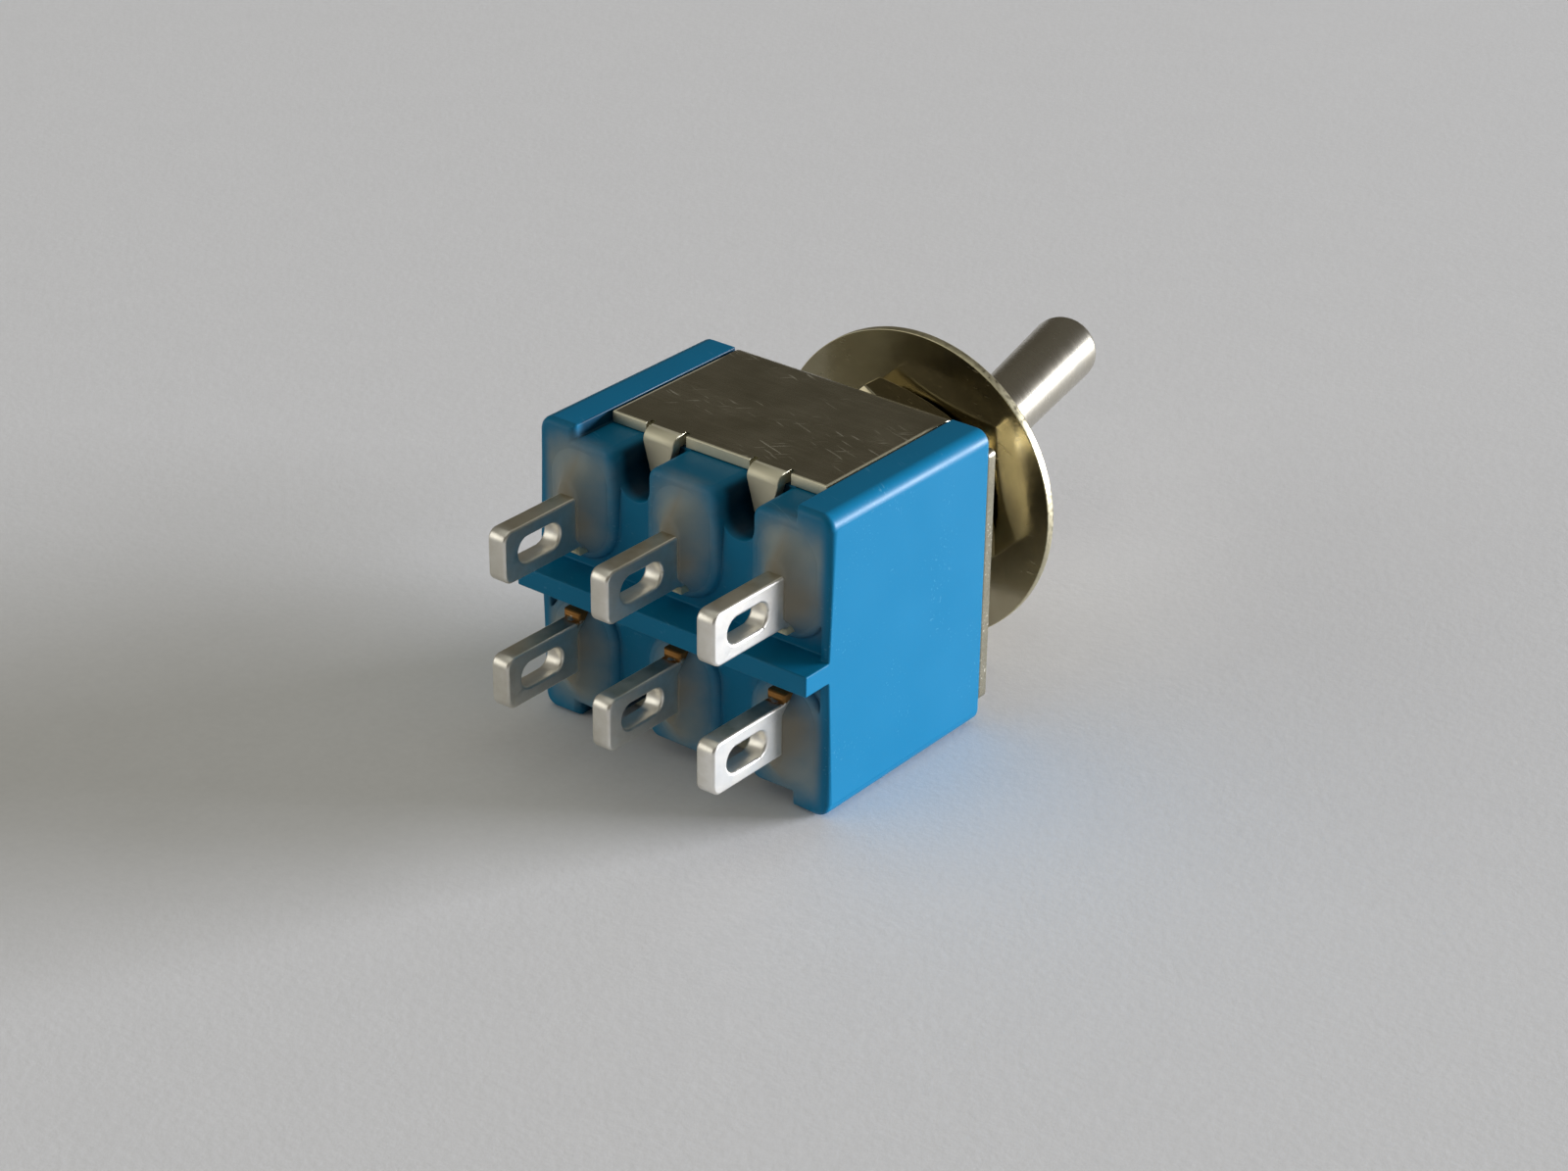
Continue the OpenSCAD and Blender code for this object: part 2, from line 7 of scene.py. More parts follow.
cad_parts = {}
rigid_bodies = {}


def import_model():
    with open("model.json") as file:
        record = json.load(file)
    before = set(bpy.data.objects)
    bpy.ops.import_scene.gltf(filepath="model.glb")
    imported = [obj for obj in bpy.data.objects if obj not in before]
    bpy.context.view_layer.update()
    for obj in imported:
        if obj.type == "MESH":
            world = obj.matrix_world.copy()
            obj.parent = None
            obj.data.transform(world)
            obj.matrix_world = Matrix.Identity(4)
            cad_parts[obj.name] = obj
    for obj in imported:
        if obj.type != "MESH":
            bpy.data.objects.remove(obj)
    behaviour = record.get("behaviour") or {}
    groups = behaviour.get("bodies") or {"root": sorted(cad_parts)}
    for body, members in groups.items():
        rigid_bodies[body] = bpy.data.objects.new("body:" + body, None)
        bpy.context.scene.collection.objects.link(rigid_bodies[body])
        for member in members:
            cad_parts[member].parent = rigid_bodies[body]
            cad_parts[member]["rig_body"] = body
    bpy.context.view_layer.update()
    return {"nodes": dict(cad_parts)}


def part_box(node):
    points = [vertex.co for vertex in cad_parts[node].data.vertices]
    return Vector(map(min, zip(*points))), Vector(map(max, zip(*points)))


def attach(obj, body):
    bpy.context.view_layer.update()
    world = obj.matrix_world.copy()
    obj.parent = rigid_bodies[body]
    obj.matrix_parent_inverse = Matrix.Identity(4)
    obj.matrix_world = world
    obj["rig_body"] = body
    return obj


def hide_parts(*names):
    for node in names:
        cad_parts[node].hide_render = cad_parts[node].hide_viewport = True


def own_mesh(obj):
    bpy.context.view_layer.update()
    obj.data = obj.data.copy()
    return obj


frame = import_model()
nodes = frame["nodes"]
mm = 0.001  # drawn in millimetres, Blender works in metres
print("frame loaded:", len(nodes), "solids")

# the switch is drawn upright, lever along +Z, and laid on its side like the CAD
layDown = Matrix.Rotation(math.radians(90), 4, "X")
lugPitch = 4.7  # from lug to lug along a row
terminalFace = 9.55  # how far back the pillars' faces lie, along Y
pivotHeight = 6.1  # the lever's ball above the panel seat
along = 0.9  # a direction with this share of an axis runs along it

# when points are one, a face is flat or a sliver goes (mm and degrees)
meshCare = {"weld": 0.002, "profileWeld": 0.0005, "sliver": 0.001, "flatAngle": 1}


def deselectAll():
    if bpy.context.mode != "OBJECT":
        bpy.ops.object.mode_set(mode="OBJECT")
    bpy.ops.object.select_all(action="DESELECT")


def activate(obj):
    deselectAll()
    obj.select_set(True)
    bpy.context.view_layer.objects.active = obj


def editAll(obj):
    activate(obj)
    bpy.ops.object.mode_set(mode="EDIT")
    bpy.ops.mesh.select_mode(type="VERT")
    bpy.ops.mesh.select_all(action="SELECT")


def pickEdges(obj, wanted):
    # select the edges whose middle, direction and face angle pass the test
    bpy.ops.mesh.select_mode(type="EDGE")
    bpy.ops.mesh.select_all(action="DESELECT")
    bm = bmesh.from_edit_mesh(obj.data)
    for e in bm.edges:
        if len(e.link_faces) != 2:
            continue
        middle = (e.verts[0].co + e.verts[1].co) / 2 / mm
        direction = (e.verts[1].co - e.verts[0].co).normalized()
        if wanted(middle, direction, math.degrees(e.calc_face_angle_signed(0))):
            e.select_set(True)
    bm.select_flush_mode()
    bmesh.update_edit_mesh(obj.data)


def pickFaces(obj, wanted):
    # select the faces whose middle and normal pass the test
    bpy.ops.mesh.select_mode(type="FACE")
    bpy.ops.mesh.select_all(action="DESELECT")
    bm = bmesh.from_edit_mesh(obj.data)
    for f in bm.faces:
        if wanted(f.calc_center_median() / mm, f.normal):
            f.select_set(True)
    bm.select_flush_mode()
    bmesh.update_edit_mesh(obj.data)


def roundEdges(offset, segments=2, clamp=False, slide=True):
    bpy.ops.mesh.bevel(offset=offset * mm, segments=segments, affect="EDGES", clamp_overlap=clamp,
                       loop_slide=slide, miter_outer="ARC")


def faceOut():
    bpy.ops.mesh.select_all(action="SELECT")
    bpy.ops.mesh.normals_make_consistent(inside=False)


def weld(obj, gap=meshCare["weld"], flatten=True):
    # points that meet become one, and flat faces that belong together are joined up
    editAll(obj)
    bpy.ops.mesh.remove_doubles(threshold=gap * mm)
    if flatten:
        bpy.ops.mesh.dissolve_limited(angle_limit=math.radians(meshCare["flatAngle"]))
    deselectAll()


def applyModifier(obj, kind, **settings):
    activate(obj)
    modifier = obj.modifiers.new(kind.lower(), kind)
    for key, value in settings.items():
        setattr(modifier, key, value)
    bpy.ops.object.modifier_apply(modifier=modifier.name)


def cutWith(obj, cutter, operation="DIFFERENCE"):
    applyModifier(obj, "BOOLEAN", operation=operation, solver="EXACT", object=cutter)
    bpy.data.objects.remove(cutter)


def applyPlace():
    bpy.ops.object.transform_apply(location=True, rotation=True, scale=True)


def place(obj, matrix):
    activate(obj)
    obj.matrix_world = matrix
    applyPlace()


def smooth(obj, angle, flats=True):
    # rounded edges shade smoothly, and the flats between them can be kept flat
    editAll(obj)
    bpy.ops.mesh.dissolve_degenerate(threshold=meshCare["sliver"] * mm)
    bpy.ops.mesh.delete_loose(use_faces=False)
    activate(obj)
    bpy.ops.object.shade_smooth_by_angle(angle=math.radians(angle))
    if flats:
        applyModifier(obj, "WEIGHTED_NORMAL", keep_sharp=True, weight=100)


def addBox(name, low, high):
    deselectAll()
    low, high = Vector(low) * mm, Vector(high) * mm
    bpy.ops.mesh.primitive_cube_add(size=1, location=(low + high) / 2, scale=high - low)
    box = bpy.context.active_object
    box.name = name
    applyPlace()
    return box


def spinProfile(name, points, steps=96):
    # one vertex, extruded along the profile (radius, height) and spun about Z
    deselectAll()
    bpy.ops.mesh.primitive_plane_add(size=mm)
    turned = bpy.context.active_object
    turned.name = name
    editAll(turned)
    bpy.ops.mesh.merge(type="CENTER")
    here = Vector((points[0][0], 0, points[0][1])) * mm
    bpy.ops.transform.translate(value=here)
    for r, z in points[1:] + points[:1]:
        there = Vector((r, 0, z)) * mm
        bpy.ops.mesh.extrude_vertices_move(TRANSFORM_OT_translate={"value": there - here})
        here = there
    bpy.ops.mesh.select_all(action="SELECT")
    bpy.ops.mesh.remove_doubles(threshold=meshCare["profileWeld"] * mm)
    bpy.ops.mesh.select_all(action="SELECT")
    bpy.ops.mesh.spin(steps=steps, angle=math.tau, center=(0, 0, 0), axis=(0, 0, 1))
    editAll(turned)
    bpy.ops.mesh.remove_doubles(threshold=meshCare["weld"] * mm)
    bpy.ops.mesh.delete_loose(use_faces=False)
    faceOut()
    deselectAll()
    return turned


def arc(centre, radius, start, end, steps):
    angles = [math.radians(start + (end - start) * i / steps) for i in range(steps + 1)]
    return [(centre[0] + radius * math.cos(a), centre[1] + radius * math.sin(a)) for a in angles]


def copyOf(obj, name):
    activate(obj)
    bpy.ops.object.duplicate()
    twin = bpy.context.active_object
    twin.name = name
    return twin


def copyOfSolid(node, name):
    twin = copyOf(nodes[node], name)
    for key in list(twin.keys()):
        del twin[key]
    twin.parent = None
    weld(twin)
    return twin


def standFor(obj, material, node):
    obj.data.materials.clear()
    obj.data.materials.append(material)
    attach(obj, nodes[node]["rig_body"])
    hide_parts(node)


# camera: looks down on the terminal face and the case's -X end
photoView = {"azimuth": 218.04, "elevation": 27.59, "roll": 0.735, "distance": 127.09,
             "lookAt": (-1.025, 5.0, -0.262), "lens": 80.955, "sensor": 36, "near": 5}


def setCamera(v):
    turn, lift, roll = (math.radians(v[k]) for k in ("azimuth", "elevation", "roll"))
    back = Vector((math.sin(turn) * math.cos(lift), -math.cos(turn) * math.cos(lift), math.sin(lift)))
    right = (-back).cross(Vector((0, 0, 1))).normalized()
    up = right.cross(-back)
    across = right * math.cos(roll) + up * math.sin(roll)
    upright = up * math.cos(roll) - right * math.sin(roll)
    bpy.ops.object.camera_add()
    camera = bpy.context.active_object
    seat = Matrix((across, upright, back)).transposed().to_4x4()
    seat.translation = Vector(v["lookAt"]) * mm + back * v["distance"] * mm
    camera.matrix_world = seat
    camera.data.lens = v["lens"]
    camera.data.sensor_width = v["sensor"]
    camera.data.clip_start = v["near"] * mm
    bpy.context.scene.camera = camera


setCamera(photoView)
print("camera set")


# materials: every pattern reads Object coordinates, scaled to millimetres
rise, fall = (0, 1), (1, 0)  # from none to all of a mask, and back
noiseBand = (0.3, 0.7)  # where nearly all of a noise lies


def startMaterial(name, **sockets):
    material = bpy.data.materials.new(name)
    material.use_nodes = True
    tree = material.node_tree
    shader = tree.nodes["Principled BSDF"]
    for key, value in sockets.items():
        shader.inputs[key].default_value = value
    return material, tree, shader


def put(tree, kind, sockets=None, **settings):
    node = tree.nodes.new("ShaderNode" + kind)
    for key, value in settings.items():
        setattr(node, key, value)
    for key, value in (sockets or {}).items():
        if isinstance(value, bpy.types.NodeSocket):
            tree.links.new(value, node.inputs[key])
        else:
            node.inputs[key].default_value = value
    return node


def inMillimetres(tree, stretch=(1, 1, 1), turn=(0, 0, 0)):
    where = put(tree, "TexCoord").outputs["Object"]
    turned = put(tree, "Mapping", {"Vector": where, "Rotation": [math.radians(a) for a in turn]})
    scale = tuple(s / mm for s in stretch)
    return put(tree, "Mapping", {"Vector": turned.outputs[0], "Scale": scale}).outputs[0]


def axesOf(tree, where):
    return put(tree, "SeparateXYZ", {0: where}).outputs[:]


def noise(tree, where, scale, detail=4, roughness=0.55):
    return put(tree, "TexNoise", {"Vector": where, "Scale": scale, "Detail": detail,
                                  "Roughness": roughness}).outputs["Fac"]


def remap(tree, value, span, to=rise, smoothly=False):
    kind = "SMOOTHSTEP" if smoothly else "LINEAR"
    return put(tree, "MapRange", {0: value, 1: span[0], 2: span[1], 3: to[0], 4: to[1]},
               interpolation_type=kind).outputs[0]


def maths(tree, operation, a, b=0.0):
    return put(tree, "Math", {0: a, 1: b}, operation=operation).outputs[0]


def times(tree, product, *others):
    for other in others:
        product = maths(tree, "MULTIPLY", product, other)
    return product


def plus(tree, total, *others):
    for other in others:
        total = maths(tree, "ADD", total, other)
    return total


def larger(tree, most, *others):
    for other in others:
        most = maths(tree, "MAXIMUM", most, other)
    return most


def minus(tree, a, b):
    return maths(tree, "SUBTRACT", a, b)


def sizeOf(tree, a):
    return maths(tree, "ABSOLUTE", a)


def gapTo(tree, a, b):
    return sizeOf(tree, minus(tree, a, b))


def hypot(tree, a, b):
    squares = plus(tree, maths(tree, "POWER", a, 2.0), maths(tree, "POWER", b, 2.0))
    return maths(tree, "SQRT", squares)


def mixColours(tree, share, a, b):
    return put(tree, "Mix", {0: share, 6: a, 7: b}, data_type="RGBA").outputs[2]


def bump(tree, shader, height, depth, strength, under=None):
    sockets = {"Height": height, "Distance": depth * mm, "Strength": strength}
    if under:
        sockets["Normal"] = under
    normal = put(tree, "Bump", sockets).outputs[0]
    tree.links.new(normal, shader.inputs["Normal"])
    return normal


def finishWith(tree, shader, colour, rough):
    tree.links.new(colour, shader.inputs["Base Color"])
    tree.links.new(rough, shader.inputs["Roughness"])


# sparse fine scratches: a stretched noise, kept only where a broad one allows it
scratchCut = {"lines": (1.0, 2, 0.4), "thin": (0.66, 0.70), "patches": (0.45, 1, 0.5), "patch": (0.62, 0.72)}


def scratches(tree, turn, length, width, amount):
    stretched = inMillimetres(tree, (1 / length, 1 / width, 1 / width), turn)
    lines = noise(tree, stretched, *scratchCut["lines"])
    there = noise(tree, inMillimetres(tree), *scratchCut["patches"])
    patch = [limit - amount for limit in scratchCut["patch"]]
    return times(tree, remap(tree, lines, scratchCut["thin"]), remap(tree, there, patch))


# cured resin lies over the pillars: cloudy in the middle, thinning to the blue at their edges
resinCloud = {"cloud": (0.262, 0.308, 0.308, 1), "amber": (0.255, 0.228, 0.172, 1),
              "row": 2.4, "outer": 4.3, "outerFall": 1.2, "half": 1.65, "spill": 0.45,
              "swirl": (0.9, 3), "ragged": 0.11, "fade": (0.10, 1.22), "front": (8.8, 9.40), "ends": (6.0, 6.45),
              "lug": 2.5, "lugReach": 0.35, "warm": (0.35, 1.2), "warmest": 0.9}


def cloudOver(tree, where, base, c):
    x, y, z = axesOf(tree, where)
    column = times(tree, maths(tree, "ROUND", maths(tree, "DIVIDE", x, lugPitch)), lugPitch)
    # past the end pillars the haze runs on over the flange
    beyond = larger(tree, minus(tree, sizeOf(tree, x), lugPitch), 0.0)
    across = minus(tree, gapTo(tree, x, column), times(tree, beyond, c["spill"]))
    height = sizeOf(tree, z)
    inward = larger(tree, minus(tree, c["row"], height), 0.0)
    outward = larger(tree, minus(tree, height, c["outer"]), 0.0)
    off = plus(tree, inward, times(tree, outward, c["outerFall"]))
    ragged = remap(tree, noise(tree, where, *c["swirl"]), noiseBand, (-c["ragged"], c["ragged"]))
    edge = plus(tree, maths(tree, "DIVIDE", hypot(tree, across, off), c["half"]), ragged)
    nearLug = plus(tree, across, times(tree, gapTo(tree, height, c["lug"]), c["lugReach"]))
    warm = remap(tree, nearLug, c["warm"], (c["warmest"], 0), True)
    colour = mixColours(tree, warm, c["cloud"], c["amber"])
    share = times(tree, remap(tree, edge, c["fade"], fall, True), remap(tree, y, c["front"], rise, True),
                  remap(tree, sizeOf(tree, x), c["ends"], fall, True))
    return mixColours(tree, share, base, colour)


# painted shade darkens the tab notches, and the flanges' inner faces beside the plate, where they lie in shade
caseBlue = {"deep": (0.002, 0.153, 0.302, 1), "light": (0.003, 0.172, 0.335, 1), "broad": (0.35, 3),
            "scuff": (0.07, 0.28, 0.45, 1), "scuffShare": 0.55,
            "scuffs": ((12, 0, 24), 3.0, 0.10, 0.10), "paintedShade": (0.002, 0.030, 0.062, 1),
            "notchAt": 2.35, "notchHalf": (0.80, 1.00), "notchSide": (3.3, 3.7), "notchFace": (8.7, 9.3),
            "seamAt": 4.92, "seamHalf": (0.05, 0.10), "seamShadeShare": 0.85, "seamSide": (5.2, 5.35),
            "seamFace": (8.9, 9.4), "rough": (0.34, 0.42), "specular": 0.17,
            "grain": (11.0, 5, 0.6), "grainRough": 0.06, "grainBump": (0.002, 0.4),
            "waves": (0.8, 2), "waveBump": (0.015, 0.2)}


def makeCaseBlue(c):
    sockets = {"IOR": 1.5, "Specular IOR Level": c["specular"]}
    material, tree, shader = startMaterial("moulded blue plastic", **sockets)
    where = inMillimetres(tree)
    x, y, z = axesOf(tree, where)
    broad = noise(tree, where, *c["broad"])
    colour = mixColours(tree, broad, c["deep"], c["light"])
    scuffs = scratches(tree, *c["scuffs"])
    colour = mixColours(tree, times(tree, scuffs, c["scuffShare"]), colour, c["scuff"])
    # painted shade: a darker blue inside the tab notches and on the flanges' inner faces by the plate, standing in
    # for their shade
    notchShade = times(tree, remap(tree, gapTo(tree, sizeOf(tree, x), c["notchAt"]), c["notchHalf"], fall, True),
                  remap(tree, sizeOf(tree, z), c["notchSide"]), remap(tree, y, c["notchFace"], fall, True))
    seamShade = times(tree, remap(tree, gapTo(tree, sizeOf(tree, x), c["seamAt"]), c["seamHalf"], (c["seamShadeShare"], 0)),
                 remap(tree, y, c["seamFace"], fall, True), remap(tree, sizeOf(tree, z), c["seamSide"]))
    colour = mixColours(tree, larger(tree, notchShade, seamShade), colour, c["paintedShade"])
    colour = cloudOver(tree, where, colour, resinCloud)
    grain = noise(tree, where, *c["grain"])
    rough = plus(tree, remap(tree, broad, noiseBand, c["rough"]), times(tree, grain, c["grainRough"]))
    finishWith(tree, shader, colour, rough)
    waves = bump(tree, shader, noise(tree, where, *c["waves"]), *c["waveBump"])
    bump(tree, shader, grain, *c["grainBump"], waves)
    return material


resinFinish = {"rough": (0.36, 0.46), "specular": 0.19, "flow": (1.6, 3), "flowBump": (0.02, 0.4)}


def makeResin(r, under):
    sockets = {"IOR": 1.5, "Specular IOR Level": r["specular"]}
    material, tree, shader = startMaterial("cloudy resin", **sockets)
    where = inMillimetres(tree)
    base = mixColours(tree, noise(tree, where, *under["broad"]), under["deep"], under["light"])
    rough = remap(tree, noise(tree, where, *resinCloud["swirl"]), noiseBand, r["rough"])
    finishWith(tree, shader, cloudOver(tree, where, base, resinCloud), rough)
    bump(tree, shader, noise(tree, where, *r["flow"]), *r["flowBump"])
    return material


# the plating is painted pale at the sheared edges, over the bent tabs and at the tongue ends: partly bare steel,
# partly a painted highlight where these edges catch the light
plateSteel = {"dark": (0.355, 0.330, 0.240, 1), "light": (0.455, 0.425, 0.325, 1), "cloud": (0.5, 3),
              "line": (0.78, 0.75, 0.64, 1), "lineShare": 0.75, "lines": ((0, 0, 18), 1.6, 0.12, 0.14),
              "crossLines": ((0, 0, -40), 1.2, 0.11, 0.12), "wornAndHighlight": (0.76, 0.725, 0.575, 1),
              "tabSide": (5.74, 5.80), "tabFrom": (7.2, 7.3), "endEdge": (7.44, 7.50),
              "flankEdge": (4.70, 4.76), "flankSide": (5.1, 5.2), "flankFrom": (0.9, 1.8),
              "tongueEdge": (6.5, 6.55), "tongueShare": 0.15,
              "rough": (0.20, 0.27), "cloudRough": 0.07, "lineRough": 0.15, "wornAndHighlightRough": 0.60,
              "rolling": (0.5, 9, 9), "grain": (1.0, 4, 0.6), "grainBump": (0.004, 0.5),
              "swell": (0.7, 2), "swellBump": (0.03, 0.3)}


def makePlateSteel(c):
    material, tree, shader = startMaterial("plated sheet steel", **{"Metallic": 1.0})
    where = inMillimetres(tree)
    x, y, z = axesOf(tree, where)
    wide, high = sizeOf(tree, x), sizeOf(tree, z)
    grain = noise(tree, inMillimetres(tree, c["rolling"]), *c["grain"])
    cloud = noise(tree, where, *c["cloud"])
    colour = mixColours(tree, remap(tree, cloud, noiseBand), c["dark"], c["light"])
    lines = larger(tree, scratches(tree, *c["lines"]), scratches(tree, *c["crossLines"]))
    colour = mixColours(tree, times(tree, lines, c["lineShare"]), colour, c["line"])
    # painted highlight, partly wear: the tabs, the plate's front and side edges and the tongue ends are made pale
    # and rough
    tabs = times(tree, remap(tree, high, c["tabSide"], fall), remap(tree, y, c["tabFrom"]))
    flanks = times(tree, remap(tree, wide, c["flankEdge"]), remap(tree, high, c["flankSide"]),
                   remap(tree, y, c["flankFrom"]))
    tongue = remap(tree, wide, c["tongueEdge"], (0, c["tongueShare"]))
    wornAndHighlight = larger(tree, tabs, tongue, remap(tree, y, c["endEdge"]), flanks)
    colour = mixColours(tree, wornAndHighlight, colour, c["wornAndHighlight"])
    rough = plus(tree, remap(tree, grain, noiseBand, c["rough"]), times(tree, cloud, c["cloudRough"]),
                 times(tree, lines, c["lineRough"]))
    finishWith(tree, shader, colour, larger(tree, rough, times(tree, wornAndHighlight, c["wornAndHighlightRough"])))
    rolled = bump(tree, shader, grain, *c["grainBump"])
    bump(tree, shader, noise(tree, where, *c["swell"]), *c["swellBump"], rolled)
    return material


# the tin is thin on the sheared edges and misses the shoulder at the root, on the barrier's side
tinCoat = {"bright": (0.90, 0.880, 0.825, 1), "dull": (0.78, 0.750, 0.680, 1), "cloud": (1.3, 4),
           "cloudBand": (0.35, 0.65), "sheared": (0.46, 0.405, 0.285, 1), "row": 2.5, "flat": (1.0, 1.02),
           "thinBand": (0.3, 0.6), "thin": (0.9, 0.5), "tip": (13.2, 13.7),
           "brass": (0.36, 0.185, 0.060, 1), "paleBrass": (0.82, 0.76, 0.54, 1), "betweenRows": (-0.5, 0.5),
           "nibbles": (3.4, 3), "ragged": 0.16, "shoulder": (1.44, 1.54), "root": (10.25, 10.4),
           "rough": (0.36, 0.45), "bareRough": 0.2,
           "flow": (1.1, 2), "flowBump": (0.03, 0.4), "grain": (9.0, 4), "grainBump": (0.004, 0.4)}


def makeTinned(c):
    material, tree, shader = startMaterial("tinned brass", **{"Metallic": 1.0})
    where = inMillimetres(tree)
    _, y, z = axesOf(tree, where)
    height = sizeOf(tree, z)
    cloud = noise(tree, where, *c["cloud"])
    colour = mixColours(tree, remap(tree, cloud, c["cloudBand"]), c["bright"], c["dull"])
    sheared = times(tree, remap(tree, gapTo(tree, height, c["row"]), c["flat"]),
                    remap(tree, cloud, c["thinBand"], c["thin"]), remap(tree, y, c["tip"], fall, True))
    colour = mixColours(tree, sheared, colour, c["sheared"])
    nibbles = remap(tree, noise(tree, where, *c["nibbles"]), noiseBand, (-c["ragged"], c["ragged"]))
    bare = times(tree, remap(tree, plus(tree, height, nibbles), c["shoulder"], fall),
                 remap(tree, y, c["root"], fall))
    under = mixColours(tree, remap(tree, z, c["betweenRows"]), c["brass"], c["paleBrass"])
    colour = mixColours(tree, bare, colour, under)
    rough = plus(tree, remap(tree, cloud, noiseBand, c["rough"]), times(tree, bare, c["bareRough"]))
    finishWith(tree, shader, colour, rough)
    flow = bump(tree, shader, noise(tree, where, *c["flow"]), *c["flowBump"])
    bump(tree, shader, noise(tree, where, *c["grain"]), *c["grainBump"], flow)
    return material


# the washer's blanked rim is painted bright: partly rubbed metal, partly a painted highlight with glints in its
# nicks
nickelTone = {"bright": (0.445, 0.405, 0.290, 1), "dull": (0.365, 0.325, 0.220, 1), "cloud": (0.6, 4),
              "rim": (0.62, 0.570, 0.390, 1), "hang": 0.1, "rimFrom": (6.15, 6.18), "nicks": (5.0, 3),
              "nickBand": (0.35, 0.55), "rubbedAndGlint": (0.5, 1.0), "rough": (0.10, 0.17), "haze": (6.0, 4),
              "hazeRough": 0.05, "lines": ((30, 0, 10), 2.0, 0.08, 0.1), "lineRough": 0.15, "rimRough": 0.22,
              "swell": (0.45, 1), "swellBump": (0.05, 0.25), "hazeBump": (0.002, 0.4)}


def makeNickel(c):
    material, tree, shader = startMaterial("bright nickel plate", **{"Metallic": 1.0})
    where = inMillimetres(tree)
    x, _, z = axesOf(tree, where)
    cloud = noise(tree, where, *c["cloud"])
    colour = mixColours(tree, remap(tree, cloud, noiseBand), c["bright"], c["dull"])
    out = hypot(tree, sizeOf(tree, x), gapTo(tree, z, c["hang"]))
    nicks = noise(tree, where, *c["nicks"])
    # painted highlight, partly wear: the rim is made paler and rougher, most in its nicks, standing in for the
    # light it catches
    rim = times(tree, remap(tree, out, c["rimFrom"]), remap(tree, nicks, c["nickBand"], c["rubbedAndGlint"]))
    haze = noise(tree, where, *c["haze"])
    lines = scratches(tree, *c["lines"])
    rough = plus(tree, remap(tree, cloud, noiseBand, c["rough"]), times(tree, haze, c["hazeRough"]),
                 times(tree, lines, c["lineRough"]), times(tree, rim, c["rimRough"]))
    finishWith(tree, shader, mixColours(tree, rim, colour, c["rim"]), rough)
    swell = bump(tree, shader, noise(tree, where, *c["swell"]), *c["swellBump"])
    bump(tree, shader, haze, *c["hazeBump"], swell)
    return material


# turning lines run round the lever, so their noise is squeezed along it
leverTone = {"bright": (0.58, 0.55, 0.465, 1), "dull": (0.45, 0.415, 0.335, 1), "cloud": (0.7, 3),
             "squeeze": (0.5, 14, 0.5), "lean": (0, 0, 13), "turned": (1.0, 3),
             "rough": (0.22, 0.28), "turnedRough": 0.05, "turnedBump": (0.003, 0.35)}


def makeLeverNickel(c):
    material, tree, shader = startMaterial("satin nickel lever", **{"Metallic": 1.0})
    turned = noise(tree, inMillimetres(tree, c["squeeze"], c["lean"]), *c["turned"])
    cloud = noise(tree, inMillimetres(tree), *c["cloud"])
    colour = mixColours(tree, remap(tree, cloud, noiseBand), c["bright"], c["dull"])
    rough = plus(tree, remap(tree, cloud, noiseBand, c["rough"]), times(tree, turned, c["turnedRough"]))
    finishWith(tree, shader, colour, rough)
    bump(tree, shader, turned, *c["turnedBump"])
    return material


innerTones = {
    "sheet brass": {"a": (0.60, 0.42, 0.16, 1), "b": (0.48, 0.31, 0.10, 1), "metal": 1.0, "rough": (0.25, 0.40)},
    "contact silver": {"a": (0.88, 0.87, 0.84, 1), "b": (0.74, 0.72, 0.68, 1), "metal": 1.0, "rough": (0.18, 0.32)},
    "natural nylon": {"a": (0.72, 0.70, 0.62, 1), "b": (0.62, 0.60, 0.52, 1), "metal": 0.0, "rough": (0.38, 0.52)},
    "spring wire": {"a": (0.48, 0.48, 0.49, 1), "b": (0.36, 0.36, 0.37, 1), "metal": 1.0, "rough": (0.22, 0.36)}}
innerGrain = {"cloud": (1.4, 4), "grain": (8.0, 4), "grainBump": (0.004, 0.4)}


def makeInner(name, c, g):
    material, tree, shader = startMaterial(name, **{"Metallic": c["metal"]})
    where = inMillimetres(tree)
    cloud = noise(tree, where, *g["cloud"])
    finishWith(tree, shader, mixColours(tree, remap(tree, cloud, noiseBand), c["a"], c["b"]),
               remap(tree, cloud, noiseBand, c["rough"]))
    bump(tree, shader, noise(tree, where, *g["grain"]), *g["grainBump"])
    return material


paper = {"pale": (0.875, 0.873, 0.893, 1), "tint": (0.840, 0.838, 0.857, 1), "band": (0.35, 0.65),
         "grain": (3.2, 5, 0.65), "grainShare": 0.7, "fibre": (0.5, 3), "fibreShare": 0.3,
         "grainBump": (0.018, 0.4), "rough": 0.75, "specular": 0.25}


def makePaper(c):
    sockets = {"Roughness": c["rough"], "Specular IOR Level": c["specular"]}
    material, tree, shader = startMaterial("pale matt paper", **sockets)
    where = inMillimetres(tree)
    grain = noise(tree, where, *c["grain"])
    fibre = noise(tree, where, *c["fibre"])
    share = plus(tree, times(tree, grain, c["grainShare"]), times(tree, fibre, c["fibreShare"]))
    colour = mixColours(tree, remap(tree, share, c["band"]), c["pale"], c["tint"])
    tree.links.new(colour, shader.inputs["Base Color"])
    bump(tree, shader, grain, *c["grainBump"])
    return material


blue = makeCaseBlue(caseBlue)
resin = makeResin(resinFinish, caseBlue)
steel = makePlateSteel(plateSteel)
tinned = makeTinned(tinCoat)
nickel = makeNickel(nickelTone)
leverNickel = makeLeverNickel(leverTone)
inner = {name: makeInner(name, tones, innerGrain) for name, tones in innerTones.items()}
print("materials made:", len(bpy.data.materials))


